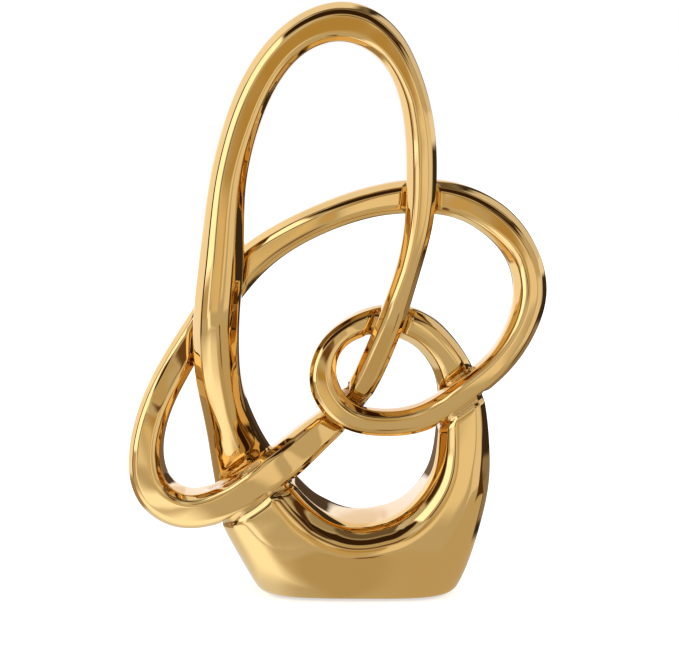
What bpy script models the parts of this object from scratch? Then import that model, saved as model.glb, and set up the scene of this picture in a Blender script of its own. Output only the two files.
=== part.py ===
# Knot sculpture in gold-glazed ceramic, 280 mm tall.
#
# The sculpture is one ribbon that closes on itself. It rises from the base, loops over the
# top, dives behind its own curl, sweeps out to the left, climbs back as an arch, turns round
# the right, curls once and comes down into the base again. It passes itself six times.
# It is cast in six hollow lengths. Each length ends behind a crossing, where the band in
# front is seated in a shallow notch in the two ends behind it and the joint is luted.
# Four felt dots under the foot carry the sculpture.
#
# Frame: +Z up, the front faces -Y, +X to the right seen from the front, floor at Z = 0.

import math

import bpy
import bmesh
import numpy as np
from mathutils import Matrix, Vector

MM = 0.001

# Main sizes, in millimetres. The drawn ribbon below is stretched to the height and the width,
# and its box is centred on X = 0.
HEIGHT = 280.0            # from the foot plane to the top of the crown
WIDTH = 197.8             # from the left lobe to the right loop
BASE_DEPTH = 61.0         # from front to back, at the middle of the base

# Joints and walls, in millimetres
WALL = 4.2                # thickness of the cast wall
LAP = 2.4                 # how far two bands bite into each other at a crossing
LUTE = 0.3                # joint filled by the lute and the glaze
SOLID_END = 16.0          # solid length of the cradle under the left shoulder
BORE_MIN = 1.6            # least width and depth of the bore
EDGE_MIN = 0.5            # least radius of a rounded edge
EDGE_SHARE = 0.92         # greatest part of a half side that its rounded edge takes up

# Foot and felt dots, in millimetres
FELT_THICKNESS = 1.0
FELT_DIAMETER = 11.0
FELT_SEAT = 0.3           # glue under each dot
FELT_SPREAD_X = 24.0      # dot centres, each way from the middle of the foot
FELT_SPREAD_Y = 13.0
DRAIN_DIAMETER = 8.0      # drain hole of the hollow casting, in the middle of the foot
FOOT_LEVEL = FELT_THICKNESS + FELT_SEAT

# Fineness of the surface
RING_STEP = 6.0           # greatest distance between two rings of the outside, in millimetres
BASE_RING_STEP = 4.5      # the same on the cradle, whose outer edge is much the longer
BORE_STEP = 12.0          # the same inside the bore
CORNER_STEPS = 4          # edges in each rounded corner of the outside
BORE_CORNER_STEPS = 2     # edges in each corner of the bore
FELT_SIDES = 24
SMOOTH_ANGLE = 40.0       # sharper edges than this stay sharp, in degrees
SLOPE_STEP = 0.05         # half of the step over which the direction of the walk is read
SEARCH_STEP = 0.5         # step of the search for a crossing
SEARCH_START = 5.0        # the search leaves out this much at both ends of a stretch

# Stations of the ribbon, in the order of the walk along it, in millimetres.
# Each is x, z of the middle of the band, its layer, its width seen from the front, its
# depth from front to back, and the radii of its outer and its inner edges.
# Layer -1 lies in front, seated against layer +1 behind. A stretch starts at a joint.
# A cradle station gives x, z of its inner edge and x, z of its outer edge in place of the
# middle and the width, because the two sides of the base are not parallel, and how much
# shallower than the base it is in place of the depth.
RIBBON = {
    "tall_loop": [
        (-43.8, 54.0, 1.00, 34.0, 30.0, 9.0, 8.0),
        (-51.5, 77.0, 0.65, 24.0, 29.0, 7.5, 7.0),
        (-56.7, 106.0, -0.30, 21.4, 28.0, 8.4, 6.0),
        (-56.7, 134.0, -0.98, 21.6, 27.0, 8.8, 5.8),
        (-54.0, 163.0, -1.00, 20.4, 26.5, 8.8, 5.8),
        (-51.0, 196.0, -0.90, 17.2, 26.0, 8.0, 5.0),
        (-44.6, 223.0, -0.75, 16.1, 25.5, 6.8, 4.6),
        (-33.8, 247.0, -0.65, 15.8, 25.0, 6.0, 4.4),
        (-17.0, 265.0, -0.60, 16.6, 25.0, 6.4, 4.4),
        (4.0, 270.8, -0.60, 18.4, 25.0, 6.6, 4.4),
        (20.9, 262.9, -0.65, 16.4, 24.0, 6.0, 4.4),
        (31.7, 246.9, -0.80, 13.2, 23.0, 4.8, 4.4),
        (37.2, 228.0, -0.95, 13.5, 22.0, 4.4, 6.2),
        (39.2, 202.0, -1.02, 14.1, 21.0, 4.4, 6.5),
        (38.1, 179.0, -1.02, 13.4, 20.0, 4.4, 6.2),
        (33.8, 158.0, -1.00, 11.5, 19.0, 4.0, 5.0),
        (27.1, 136.5, -1.02, 12.5, 18.0, 4.0, 4.4),
        (17.9, 112.0, 0.10, 13.3, 17.0, 3.8, 4.2),
    ],
    "left_ribbon": [
        (3.5, 87.0, 1.00, 13.5, 17.0, 3.4, 3.8),
        (-11.8, 74.4, 0.25, 16.3, 19.0, 3.4, 4.0),
        (-25.3, 64.4, -0.85, 18.0, 22.5, 3.6, 4.4),
        (-42.0, 52.5, -1.05, 18.3, 25.0, 3.8, 4.6),
        (-59.0, 43.8, -1.05, 16.4, 26.0, 3.8, 4.6),
        (-74.5, 42.5, -1.00, 16.4, 26.5, 4.0, 4.6),
        (-86.7, 50.5, -0.90, 16.6, 27.0, 4.2, 4.8),
        (-91.0, 67.0, -0.75, 15.2, 27.0, 4.4, 4.8),
        (-87.6, 86.4, -0.45, 14.8, 27.0, 4.4, 4.8),
        (-78.8, 106.1, 0.35, 15.3, 26.0, 4.4, 4.6),
        (-67.5, 124.5, 0.95, 15.2, 25.0, 4.4, 4.4),
    ],
    "arch": [
        (-55.5, 141.5, 1.00, 16.6, 24.5, 5.0, 4.4),
        (-43.5, 156.0, 1.00, 16.6, 24.0, 5.4, 4.6),
        (-27.0, 168.8, 0.90, 14.8, 23.0, 5.6, 4.6),
        (-4.0, 180.2, 0.75, 14.0, 22.5, 5.6, 4.6),
        (20.0, 187.4, 0.90, 14.7, 22.0, 5.6, 4.6),
    ],
    "right_loop": [
        (39.2, 189.2, 1.00, 16.2, 22.0, 5.4, 4.6),
        (57.5, 187.0, 0.95, 16.3, 21.5, 5.2, 4.6),
        (76.0, 177.0, 0.70, 16.6, 21.0, 5.2, 4.6),
        (88.1, 161.0, 0.35, 15.5, 20.5, 5.0, 7.0),
        (91.4, 144.5, 0.00, 15.6, 20.0, 4.8, 7.2),
        (86.9, 127.5, -0.40, 13.9, 19.5, 4.4, 6.2),
        (76.4, 111.6, -0.80, 12.4, 19.0, 4.0, 4.2),
        (59.6, 97.5, -1.02, 12.4, 18.5, 3.6, 4.2),
        (41.0, 85.7, -1.02, 12.6, 18.0, 3.6, 4.4),
        (22.0, 82.6, -1.02, 12.0, 18.0, 3.6, 4.6),
        (3.2, 87.3, -1.02, 13.0, 17.5, 3.6, 5.0),
        (-6.6, 101.0, -0.80, 13.5, 17.5, 3.8, 5.2),
        (-4.9, 115.4, -0.35, 11.5, 17.0, 3.6, 4.6),
        (6.0, 125.8, 0.60, 11.2, 17.0, 3.4, 4.2),
    ],
    "bridge": [
        (24.7, 129.7, 1.02, 15.2, 17.0, 4.2, 4.2),
        (38.0, 126.3, 1.00, 16.4, 17.5, 4.8, 5.2),
        (50.3, 114.8, 1.00, 16.6, 19.5, 4.6, 5.6),
    ],
    "cradle": [
        (48.6, 92.6, 68.6, 98.3, 1.00, 38.0, 4.8, 6.6),
        (47.6, 77.0, 71.6, 81.0, 0.62, 30.0, 6.0, 9.0),
        (46.6, 65.6, 72.6, 63.0, 0.17, 16.7, 8.0, 10.6),
        (43.5, 55.5, 71.4, 47.5, 0.07, 10.7, 12.0, 11.6),
        (39.0, 48.8, 68.2, 34.0, 0.01, 7.5, 17.0, 12.2),
        (33.8, 43.2, 63.4, 17.5, 0.00, 7.0, 21.0, 12.6),
        (28.4, 39.5, 57.0, 2.5, 0.00, 5.0, 22.0, 12.8),
        (22.0, 36.9, 46.0, -9.0, 0.00, 2.0, 20.0, 13.0),
        (11.0, 35.1, 10.0, -10.0, 0.00, 0.0, 17.0, 13.2),
        (0.2, 37.2, -16.0, -9.0, 0.00, 1.5, 19.0, 13.4),
        (-6.6, 40.8, -34.0, -3.0, 0.00, 5.0, 22.0, 13.8),
        (-12.2, 44.9, -41.6, 9.2, 0.01, 5.8, 21.0, 13.8),
        (-16.9, 49.4, -48.2, 20.6, 0.07, 9.6, 18.0, 13.0),
        (-21.6, 54.9, -54.6, 32.7, 0.45, 20.0, 13.0, 11.0),
    ],
}

# The band that passes in front of the joint at which each stretch starts, and the length
# of it, each way from the crossing, that is seated in the notch, in millimetres
CROSSED_BY = {
    "tall_loop": ("left_ribbon", 38.0),
    "left_ribbon": ("right_loop", 18.0),
    "arch": ("tall_loop", 36.0),
    "right_loop": ("tall_loop", 20.0),
    "bridge": ("tall_loop", 15.0),
    "cradle": ("right_loop", 25.0),
}

NAMES = list(RIBBON)


def clear_scene():
    for item in list(bpy.data.objects):
        bpy.data.objects.remove(item, do_unlink=True)


def principled(name, color, roughness, metallic):
    material = bpy.data.materials.new(name)
    material.use_nodes = True
    shader = material.node_tree.nodes["Principled BSDF"]
    shader.inputs["Base Color"].default_value = (*color, 1.0)
    shader.inputs["Roughness"].default_value = roughness
    shader.inputs["Metallic"].default_value = metallic
    material.diffuse_color = (*color, 1.0)
    return material


def gold_glaze(name):
    return principled(name + "_gold_glaze", (0.90, 0.63, 0.25), 0.10, 1.0)


def felt(name):
    return principled(name + "_felt", (0.03, 0.028, 0.026), 0.95, 0.0)


def closed_spline(knots, values):
    # Cubic curve through all values, smooth in slope and bend, that closes on itself.
    # knots has one more entry than values: the last is the length of the whole round.
    count = len(values)
    gap = np.diff(knots)
    before = np.roll(gap, 1)
    rise = (np.roll(values, -1, axis=0) - values) / gap[:, None]
    matrix = np.zeros((count, count))
    for i in range(count):
        matrix[i, i - 1] += before[i]
        matrix[i, i] += 2.0 * (before[i] + gap[i])
        matrix[i, (i + 1) % count] += gap[i]
    bend = np.linalg.solve(matrix, 6.0 * (rise - np.roll(rise, 1, axis=0)))

    def at(place):
        place = place % knots[-1]
        i = min(int(np.searchsorted(knots, place, side="right")) - 1, count - 1)
        j = (i + 1) % count
        near = place - knots[i]
        far = knots[i + 1] - place
        width = gap[i]
        return ((bend[i] * far ** 3 + bend[j] * near ** 3) / (6.0 * width)
                + (values[i] / width - bend[i] * width / 6.0) * far
                + (values[j] / width - bend[j] * width / 6.0) * near)

    return at


class Ribbon:
    # The whole ribbon as one closed curve, with the section of the band along it

    def __init__(self):
        self.stretch, self.drawn_middle = self.read_drawing()
        self.rows = np.array([self.station(name, row) for name in NAMES for row in RIBBON[name]])
        chords = np.linalg.norm(np.roll(self.rows[:, :3], -1, axis=0) - self.rows[:, :3], axis=1)
        self.knots = np.concatenate([[0.0], np.cumsum(chords)])
        self.length = self.knots[-1]
        self.curve = closed_spline(self.knots, self.rows)
        self.start = {}
        index = 0
        for name in NAMES:
            self.start[name] = self.knots[index]
            index += len(RIBBON[name])
        self.lean_the_cradle()

    @staticmethod
    def read_drawing():
        # How much the drawn path is stretched across and upwards, so that the outer edges of
        # the bands, whose own width stays, end at the asked width and height, and where the
        # middle of the stretched drawing lies across
        drawn = [row for name in NAMES if name != "cradle" for row in RIBBON[name]]
        left = min(drawn, key=lambda row: row[0] - row[3] / 2.0)
        right = max(drawn, key=lambda row: row[0] + row[3] / 2.0)
        top = max(drawn, key=lambda row: row[1] + row[3] / 2.0)
        across = (WIDTH - (left[3] + right[3]) / 2.0) / (right[0] - left[0])
        upwards = (HEIGHT - top[3] / 2.0) / top[1]
        middle = (left[0] * across - left[3] / 2.0 + right[0] * across + right[3] / 2.0) / 2.0
        return (across, upwards), middle

    def place(self, x, z):
        # A drawn point, stretched and centred
        across, upwards = self.stretch
        return x * across - self.drawn_middle, z * upwards

    def cradle_edges(self, row):
        return (*self.place(row[0], row[1]), *self.place(row[2], row[3]))

    def station(self, name, row):
        # Middle, width, depth, two edge radii and lean. The layer becomes a real place:
        # both layers bite LAP into each other at y = 0.
        if name == "cradle":
            inner_x, inner_z, outer_x, outer_z = self.cradle_edges(row)
            layer, shallower, outer, inner = row[4:]
            x, z = (inner_x + outer_x) / 2.0, (inner_z + outer_z) / 2.0
            width = math.hypot(outer_x - inner_x, outer_z - inner_z)
            depth = BASE_DEPTH - shallower
        else:
            x, z, layer, width, depth, outer, inner = row
            x, z = self.place(x, z)
        return [x, layer * (depth - LAP) / 2.0, z, width, depth, outer, inner, 0.0]

    def foot_middle(self):
        # Under the lowest point of the outer edge
        lowest = min(RIBBON["cradle"], key=lambda row: row[3])
        return self.cradle_edges(lowest)[2]

    def lean_the_cradle(self):
        # The sections of the base are turned so that they end on both given edges
        first = len(self.rows) - len(RIBBON["cradle"])
        for index, row in enumerate(RIBBON["cradle"], start=first):
            outwards = self.axes(self.knots[index])[1]
            square = math.atan2(outwards.z, outwards.x)
            inner_x, inner_z, outer_x, outer_z = self.cradle_edges(row)
            asked = math.atan2(outer_z - inner_z, outer_x - inner_x)
            self.rows[index, 7] = (asked - square + math.pi) % (2.0 * math.pi) - math.pi
        self.curve = closed_spline(self.knots, self.rows)

    def span(self, name):
        # From the joint at which a stretch starts to the joint at which the next one starts
        following = NAMES[(NAMES.index(name) + 1) % len(NAMES)]
        end = self.start[following]
        return self.start[name], end if end > self.start[name] else end + self.length

    def axes(self, place):
        # Middle of the band, direction towards its outer edge, and direction to the back
        middle = Vector(self.curve(place)[:3])
        ahead = Vector(self.curve(place + SLOPE_STEP)[:3] - self.curve(place - SLOPE_STEP)[:3])
        ahead.normalize()
        back = Vector((0.0, 1.0, 0.0))
        back = (back - ahead * back.dot(ahead)).normalized()
        outwards = ahead.cross(back)
        outwards.rotate(Matrix.Rotation(-self.curve(place)[7], 3, back))
        return middle, outwards, back

    def bore_ring(self, place):
        # The bore leaves a full wall round it, and a floor above the ground foot
        floor = (FOOT_LEVEL + WALL) * MM
        return [Vector((p.x, p.y, max(p.z, floor)))
                for p in self.ring(place, WALL, BORE_CORNER_STEPS)]

    def ring(self, place, inset, corner_steps=CORNER_STEPS):
        # Rounded rectangle round the band, set in by a wall or out by a clearance
        middle, outwards, back = self.axes(place)
        width, depth, outer, inner = self.curve(place)[3:7]
        half = max(width / 2.0 - inset, BORE_MIN / 2.0)
        deep = max(depth / 2.0 - inset, BORE_MIN / 2.0)
        outer = min(max(outer - inset, EDGE_MIN), half * EDGE_SHARE, deep * EDGE_SHARE)
        inner = min(max(inner - inset, EDGE_MIN), half * EDGE_SHARE, deep * EDGE_SHARE)
        corners = [(half - outer, deep - outer, outer),
                   (inner - half, deep - inner, inner),
                   (inner - half, inner - deep, inner),
                   (half - outer, outer - deep, outer)]
        points = []
        for quarter, (across, along, radius) in enumerate(corners):
            for step in range(corner_steps + 1):
                angle = math.pi / 2.0 * (quarter + step / corner_steps)
                points.append(middle
                              + outwards * (across + radius * math.cos(angle))
                              + back * (along + radius * math.sin(angle)))
        return [point * MM for point in points]

    def nearest(self, name, x, z):
        # Place on a stretch that lies nearest to a point, seen from the front
        first, last = self.span(name)
        places = np.arange(first + SEARCH_START, last - SEARCH_START, SEARCH_STEP)
        found = [self.curve(place) for place in places]
        gaps = [math.hypot(row[0] - x, row[2] - z) for row in found]
        return float(places[int(np.argmin(gaps))])


def add_tube(mesh, rings):
    # Skin through a row of rings, open at both ends; returns the two end loops
    loops = [[mesh.verts.new(point) for point in ring] for ring in rings]
    count = len(loops[0])
    for near, far in zip(loops, loops[1:]):
        for i in range(count):
            j = (i + 1) % count
            mesh.faces.new((near[i], near[j], far[j], far[i]))
    return loops[0], loops[-1]


def add_rim(mesh, outside, inside):
    # Flat end face of a hollow length, between its outside and its bore. The bore has fewer
    # points, so its corners stay where the outside turns on.
    many, few = len(outside), len(inside)
    near = [i * few // many for i in range(many)]
    for i in range(many):
        j = (i + 1) % many
        a, b = near[i], near[j]
        if a == b:
            mesh.faces.new((outside[i], outside[j], inside[a]))
        else:
            mesh.faces.new((outside[i], outside[j], inside[b], inside[a]))


def object_from(mesh, name, material=None):
    bmesh.ops.recalc_face_normals(mesh, faces=mesh.faces[:])
    data = bpy.data.meshes.new(name)
    mesh.to_mesh(data)
    mesh.free()
    item = bpy.data.objects.new(name, data)
    bpy.context.scene.collection.objects.link(item)
    if material is not None:
        data.materials.append(material)
        data.shade_smooth()
        data.set_sharp_from_angle(angle=math.radians(SMOOTH_ANGLE))
    return item


def places_between(first, last, step):
    count = max(2, int(math.ceil((last - first) / step)))
    return [first + (last - first) * i / count for i in range(count + 1)]


def hollow_length(ribbon, name):
    # A cast length of ribbon from joint to joint, open at both ends where it is hollow
    first, last = ribbon.span(name)
    first += LUTE / 2.0
    last -= LUTE / 2.0
    mesh = bmesh.new()
    step = BASE_RING_STEP if name == "cradle" else RING_STEP
    outside = add_tube(mesh, [ribbon.ring(p, 0.0) for p in places_between(first, last, step)])
    bore_last = last - SOLID_END if name == "cradle" else last
    bore = add_tube(mesh, [ribbon.bore_ring(p)
                           for p in places_between(first, bore_last, BORE_STEP)])
    add_rim(mesh, outside[0], bore[0])
    if name == "cradle":
        mesh.faces.new(bore[1])
        mesh.faces.new(outside[1])
    else:
        add_rim(mesh, outside[1], bore[1])
    return object_from(mesh, name, gold_glaze(name))


def seat_cutter(ribbon, over, middle, reach, name):
    # The band in front, grown by the joint, over the length that is seated in the notch
    mesh = bmesh.new()
    places = places_between(middle - reach, middle + reach, RING_STEP)
    ends = add_tube(mesh, [ribbon.ring(place, -LUTE) for place in places])
    mesh.faces.new(ends[0])
    mesh.faces.new(ends[1])
    return hide_as_cutter(object_from(mesh, name))


def hide_as_cutter(item):
    item.hide_render = True
    item.display_type = "WIRE"
    return item


def cut(item, cutter):
    modifier = item.modifiers.new("cut_" + cutter.name, "BOOLEAN")
    modifier.operation = "DIFFERENCE"
    modifier.solver = "EXACT"
    modifier.object = cutter


def block(name, low, high):
    mesh = bmesh.new()
    bmesh.ops.create_cube(mesh, size=1.0)
    for vert in mesh.verts:
        vert.co = Vector([(low[i] + high[i]) / 2.0 + vert.co[i] * (high[i] - low[i])
                          for i in range(3)]) * MM
    return hide_as_cutter(object_from(mesh, name))


def disc(name, x, y, bottom, top, diameter, sides, material=None):
    mesh = bmesh.new()
    bmesh.ops.create_cone(mesh, cap_ends=True, segments=sides, radius1=diameter / 2.0 * MM,
                          radius2=diameter / 2.0 * MM, depth=(top - bottom) * MM)
    bmesh.ops.translate(mesh, verts=mesh.verts[:],
                        vec=Vector((x, y, (top + bottom) / 2.0)) * MM)
    return object_from(mesh, name, material)


def cut_foot(cradle, middle):
    # The foot is ground flat above the felt dots, and a drain hole leads into the bore
    cut(cradle, block("foot_plane", (-WIDTH, -BASE_DEPTH, -HEIGHT), (WIDTH, BASE_DEPTH, FOOT_LEVEL)))
    drain = disc("drain_hole", middle, 0.0, 0.0, FOOT_LEVEL + 2.0 * WALL,
                 DRAIN_DIAMETER, FELT_SIDES)
    cut(cradle, hide_as_cutter(drain))


def felt_dots(middle):
    for side_y, across in (("front", -1.0), ("back", 1.0)):
        for side_x, along in (("left", -1.0), ("right", 1.0)):
            name = f"felt_dot_{side_y}_{side_x}"
            disc(name, middle + along * FELT_SPREAD_X, across * FELT_SPREAD_Y,
                 0.0, FELT_THICKNESS, FELT_DIAMETER, FELT_SIDES, felt(name))


def build():
    clear_scene()
    ribbon = Ribbon()
    pieces = {name: hollow_length(ribbon, name) for name in NAMES}
    for name, (over, reach) in CROSSED_BY.items():
        joint = ribbon.curve(ribbon.start[name])
        middle = ribbon.nearest(over, joint[0], joint[2])
        cutter = seat_cutter(ribbon, over, middle, reach, f"seat_{over}_over_{name}")
        before = NAMES[NAMES.index(name) - 1]
        cut(pieces[name], cutter)
        cut(pieces[before], cutter)
    cut_foot(pieces["cradle"], ribbon.foot_middle())
    felt_dots(ribbon.foot_middle())


build()
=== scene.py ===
# Knot sculpture in gold-glazed ceramic, 280 mm tall, on a white studio sweep.

import math

import bmesh
import bpy
import numpy as np
from mathutils import Matrix, Vector


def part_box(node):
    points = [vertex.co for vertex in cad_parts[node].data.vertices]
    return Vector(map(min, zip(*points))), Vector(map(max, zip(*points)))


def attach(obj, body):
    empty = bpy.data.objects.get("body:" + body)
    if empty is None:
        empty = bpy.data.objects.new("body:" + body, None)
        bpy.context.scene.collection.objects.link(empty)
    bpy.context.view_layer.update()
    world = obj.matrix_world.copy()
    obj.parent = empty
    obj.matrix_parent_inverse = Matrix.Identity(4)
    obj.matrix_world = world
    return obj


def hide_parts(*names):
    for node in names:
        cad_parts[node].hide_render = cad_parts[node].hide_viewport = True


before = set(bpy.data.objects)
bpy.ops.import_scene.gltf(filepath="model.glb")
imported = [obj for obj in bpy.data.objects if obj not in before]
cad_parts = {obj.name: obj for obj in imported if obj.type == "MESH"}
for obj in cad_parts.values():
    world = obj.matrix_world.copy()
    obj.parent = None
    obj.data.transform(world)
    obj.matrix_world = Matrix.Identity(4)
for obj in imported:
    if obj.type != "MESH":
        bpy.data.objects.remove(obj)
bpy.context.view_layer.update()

print("frame loaded")

mm = 0.001


# Each station of a length is x, z of the middle of the band, its layer (-1 lies in front),
# its width seen from the front, its depth from front to back, and the radii of its outer
# and its inner edges, in millimetres. The cradle gives x, z of both edges, and y of its front
# and back faces, instead.

tallLoop = {
    "node": "tall_loop",
    "stations": [
        (-43.8, 54.0, 1.00, 34.0, 30.0, 14.0, 13.0),
        (-51.5, 77.0, 0.65, 24.0, 29.0, 11.0, 10.0),
        (-56.7, 106.0, -0.30, 21.4, 28.0, 8.4, 8.6),
        (-56.7, 134.0, -0.98, 21.6, 27.0, 8.2, 9.6),
        (-54.0, 163.0, -1.00, 20.4, 26.5, 7.6, 9.0),
        (-51.0, 196.0, -0.90, 17.2, 26.0, 6.2, 6.8),
        (-44.6, 223.0, -0.75, 16.1, 25.5, 5.8, 4.8),
        (-33.8, 247.0, -0.65, 15.8, 25.0, 6.0, 4.4),
        (-17.0, 265.0, -0.60, 16.6, 25.0, 6.4, 4.4),
        (4.0, 270.8, -0.60, 18.4, 25.0, 6.6, 4.4),
        (20.9, 262.9, -0.65, 16.4, 24.0, 6.0, 4.4),
        (31.7, 246.9, -0.80, 13.2, 23.0, 4.8, 4.4),
        (37.2, 228.0, -0.95, 13.5, 22.0, 4.4, 6.9),
        (39.2, 202.0, -1.02, 14.1, 21.0, 4.4, 7.2),
        (38.1, 179.0, -1.02, 13.4, 20.0, 4.4, 6.9),
        (33.8, 158.0, -1.00, 11.5, 19.0, 4.0, 5.4),
        (27.1, 136.5, -1.02, 12.5, 18.0, 4.0, 4.4),
        (17.9, 112.0, 0.10, 13.3, 17.0, 3.8, 4.2),
    ],
}

leftRibbon = {
    "node": "left_ribbon",
    "stations": [
        (3.5, 87.0, 1.00, 13.5, 17.0, 3.4, 3.8),
        (-11.8, 74.4, 0.25, 16.3, 19.0, 3.4, 4.0),
        (-25.3, 64.4, -0.85, 18.0, 22.5, 3.6, 4.4),
        (-42.0, 52.5, -1.05, 18.3, 25.0, 3.8, 4.6),
        (-59.0, 43.8, -1.05, 16.4, 26.0, 3.8, 4.6),
        (-74.5, 42.5, -1.00, 16.4, 26.5, 4.0, 4.6),
        (-86.7, 50.5, -0.90, 16.6, 27.0, 4.2, 4.8),
        (-91.0, 67.0, -0.75, 15.2, 27.0, 4.4, 4.8),
        (-87.6, 86.4, -0.45, 14.8, 27.0, 4.4, 4.8),
        (-78.8, 106.1, 0.35, 15.3, 26.0, 4.4, 4.6),
        (-67.5, 124.5, 0.95, 15.2, 25.0, 4.4, 4.4),
    ],
}

arch = {
    "node": "arch",
    "stations": [
        (-55.5, 141.5, 1.00, 16.6, 24.5, 5.0, 4.4),
        (-43.5, 156.0, 1.00, 16.6, 24.0, 5.4, 4.6),
        (-27.0, 168.8, 0.90, 14.8, 23.0, 5.6, 4.6),
        (-4.0, 180.2, 0.75, 14.0, 22.5, 5.6, 4.6),
        (20.0, 187.4, 0.90, 14.7, 22.0, 5.6, 4.6),
    ],
}

rightLoop = {
    "node": "right_loop",
    "stations": [
        (39.2, 189.2, 1.00, 16.2, 22.0, 5.4, 4.6),
        (57.5, 187.0, 0.95, 16.3, 21.5, 6.2, 4.6),
        (76.0, 177.0, 0.70, 16.6, 21.0, 6.4, 4.8),
        (88.1, 161.0, 0.35, 15.5, 20.5, 5.2, 7.4),
        (91.4, 144.5, 0.00, 15.6, 20.0, 4.8, 7.8),
        (86.9, 127.5, -0.40, 13.9, 19.5, 4.4, 6.2),
        (76.4, 111.6, -0.80, 12.4, 19.0, 4.0, 4.2),
        (59.6, 97.5, -1.02, 12.4, 18.5, 3.6, 4.2),
        (41.0, 85.7, -1.02, 12.6, 18.0, 3.6, 4.4),
        (22.0, 82.6, -1.02, 12.0, 18.0, 3.6, 4.6),
        (3.2, 87.3, -1.02, 13.0, 17.5, 3.6, 5.0),
        (-6.6, 101.0, -0.80, 13.5, 17.5, 3.8, 5.2),
        (-4.9, 115.4, -0.35, 11.5, 17.0, 3.6, 4.6),
        (6.0, 125.8, 0.60, 11.2, 17.0, 3.4, 4.2),
    ],
}

bridge = {
    "node": "bridge",
    "stations": [
        (24.7, 129.7, 1.02, 15.2, 17.0, 5.0, 5.6),
        (38.0, 126.3, 1.00, 16.4, 17.5, 6.4, 7.6),
        (50.3, 114.8, 1.00, 16.6, 19.5, 6.0, 7.4),
    ],
}

cradle = {
    "node": "cradle",
    "lapFronts": (-1.2, -11.8),     # y of its front as its two neighbours see it at their crossings
    "ownFronts": (-15.0, -22.5),    # y of its own front past its first and its last station
    "edgeStations": [
        (48.6, 92.6, 68.6, 98.3, -16.6, 21.8, 4.8, 6.6),
        (47.6, 77.0, 71.6, 81.0, -18.4, 24.4, 6.0, 9.0),
        (46.6, 65.6, 72.6, 63.0, -20.6, 25.8, 8.0, 10.6),
        (43.5, 55.5, 71.4, 47.5, -22.7, 26.8, 12.0, 11.6),
        (39.0, 48.8, 68.2, 34.0, -24.4, 27.2, 15.0, 12.2),
        (33.8, 43.2, 63.4, 17.5, -26.1, 28.0, 18.0, 12.6),
        (28.4, 39.5, 57.0, 2.5, -27.6, 29.0, 20.0, 12.8),
        (22.0, 36.9, 46.0, -9.0, -29.0, 30.0, 20.0, 13.0),
        (11.0, 35.1, 10.0, -10.0, -30.5, 30.5, 17.0, 13.2),
        (0.2, 37.2, -16.0, -9.0, -29.8, 30.2, 19.0, 13.4),
        (-6.6, 40.8, -34.0, -3.0, -28.8, 29.4, 21.0, 13.8),
        (-12.2, 44.9, -41.6, 9.2, -27.6, 28.4, 20.0, 13.8),
        (-16.9, 49.4, -48.2, 20.6, -26.2, 28.2, 16.0, 13.0),
        (-21.6, 54.9, -54.6, 32.7, -24.8, 29.0, 11.0, 11.0),
    ],
}

lengths = [tallLoop, leftRibbon, arch, rightLoop, bridge, cradle]   # in the order of the walk

ribbon = {
    "drawnMiddle": 0.3,      # x of the middle of the drawing, which is moved to 0
    "lap": 2.4,              # bite of two bands into each other at a crossing
    "cornerPowers": (2.3, 1.85),   # of a broad outer and inner edge: 2 is round, more is squarer
    "pared": (9.0, 12.0),    # edges below this radius have two pared flats, and above that none
    "flats": (20.0, 55.0),   # how far the two flats are turned from the face, in degrees
    "flatSpans": (0.18, 0.30, 0.44, 0.80),   # where the first begins and ends, and the second
    "cornerGrow": 1.05,      # an edge is drawn this much broader than its radius
    "broadestCorner": 0.97,  # of half the band
    "faceCrown": 0.14,       # swell of the front and back faces
    "sideCrown": 0.30,       # swell of the side faces
    "ringStep": 1.0,         # from one ring of points to the next
    "cornerSteps": 20,       # points round an edge, and across a face
    "faceSteps": 9,
    "paringPoints": 801,     # of the fine outline that a pared edge is picked from
    "evenPoints": 0.35,      # share of an edge's points that lie evenly, the rest where it turns
}

easing = {                   # evens out what was read from the picture, in millimetres
    "sizes": (2.5, 5.0, 2.5, 2.5, 5.0, 6.0, 6.0, 2.5),   # one for each column of a station
    "cradleTimes": 2.4,      # as many times more of it in the broad cradle
    "cradleBlend": 16.0,     # length over which that sets in
    "step": 2.5,
    "reach": 24,             # steps to either side
}


def closedCurve(knots, values):
    # smooth cubic through all values that closes on itself; reads many places at once
    count = len(values)
    gap = np.diff(knots)
    before = np.roll(gap, 1)
    rise = (np.roll(values, -1, axis=0) - values) / gap[:, None]
    matrix = np.zeros((count, count))
    for i in range(count):
        matrix[i, i - 1] += before[i]
        matrix[i, i] += 2.0 * (before[i] + gap[i])
        matrix[i, (i + 1) % count] += gap[i]
    bend = np.linalg.solve(matrix, 6.0 * (rise - np.roll(rise, 1, axis=0)))

    def at(places):
        places = np.asarray(places, float) % knots[-1]
        i = np.clip(np.searchsorted(knots, places, side="right") - 1, 0, count - 1)
        j = (i + 1) % count
        near = (places - knots[i])[:, None]
        far = (knots[i + 1] - places)[:, None]
        width = gap[i][:, None]
        return ((bend[i] * far ** 3 + bend[j] * near ** 3) / (6.0 * width)
                + (values[i] / width - bend[i] * width / 6.0) * far
                + (values[j] / width - bend[j] * width / 6.0) * near)

    return at


def readStations():
    rows, owners = [], []
    for length in lengths:
        for row in length.get("stations", []):
            x, z, layer, width, depth, outer, inner = row
            rows.append([x - ribbon["drawnMiddle"], layer * (depth - ribbon["lap"]) / 2, z,
                         width, depth, outer, inner, 0.0])
            owners.append(length["node"])
        for row in length.get("edgeStations", []):
            innerX, innerZ, outerX, outerZ, front, rear, outer, inner = row
            rows.append([(innerX + outerX) / 2 - ribbon["drawnMiddle"], (front + rear) / 2,
                         (innerZ + outerZ) / 2, math.hypot(outerX - innerX, outerZ - innerZ),
                         rear - front, outer, inner, 0.0])
            owners.append(length["node"])
    return np.array(rows), owners


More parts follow.
